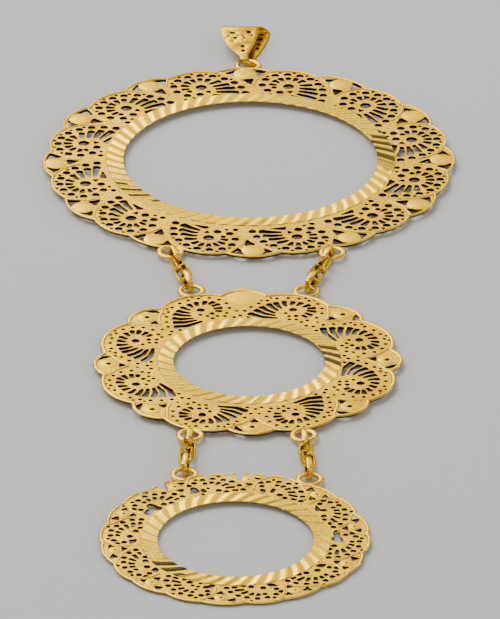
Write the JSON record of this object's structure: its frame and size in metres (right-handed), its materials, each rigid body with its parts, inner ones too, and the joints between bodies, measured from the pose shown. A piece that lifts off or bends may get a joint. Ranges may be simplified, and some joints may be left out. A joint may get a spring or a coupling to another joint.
{
  "type": "three-tier filigree pendant",
  "caption": "Gold pendant of round pierced tiers with scalloped edges, hung one under another on short link chains from a folded leaf bail.",
  "frame": {"origin": "the middle of the whole pendant, on the surface that it lies on", "axes": "+Y up the pendant to the bail, +Z out of its front, +X to the right as seen from the front"},
  "size_m": [0.0602, 0.1779, 0.0025],
  "materials": {
    "tiers": "yellow gold, satin in the pierced ground and bright on rims, discs and cut rings",
    "links": "bright yellow gold",
    "bail": "bright yellow gold"
  },
  "bodies": {
    "root": {"bail": "bail", "top_frame": "tiers", "mid_frame": "tiers", "bottom_frame": "tiers", "link_upper_left_1": "links", "link_upper_left_2": "links", "link_upper_left_3": "links", "link_upper_left_4": "links", "link_upper_right_1": "links", "link_upper_right_2": "links", "link_upper_right_3": "links", "link_upper_right_4": "links", "link_lower_left_1": "links", "link_lower_left_2": "links", "link_lower_left_3": "links", "link_lower_left_4": "links", "link_lower_right_1": "links", "link_lower_right_2": "links", "link_lower_right_3": "links", "link_lower_right_4": "links"}
  },
  "joints": []
}
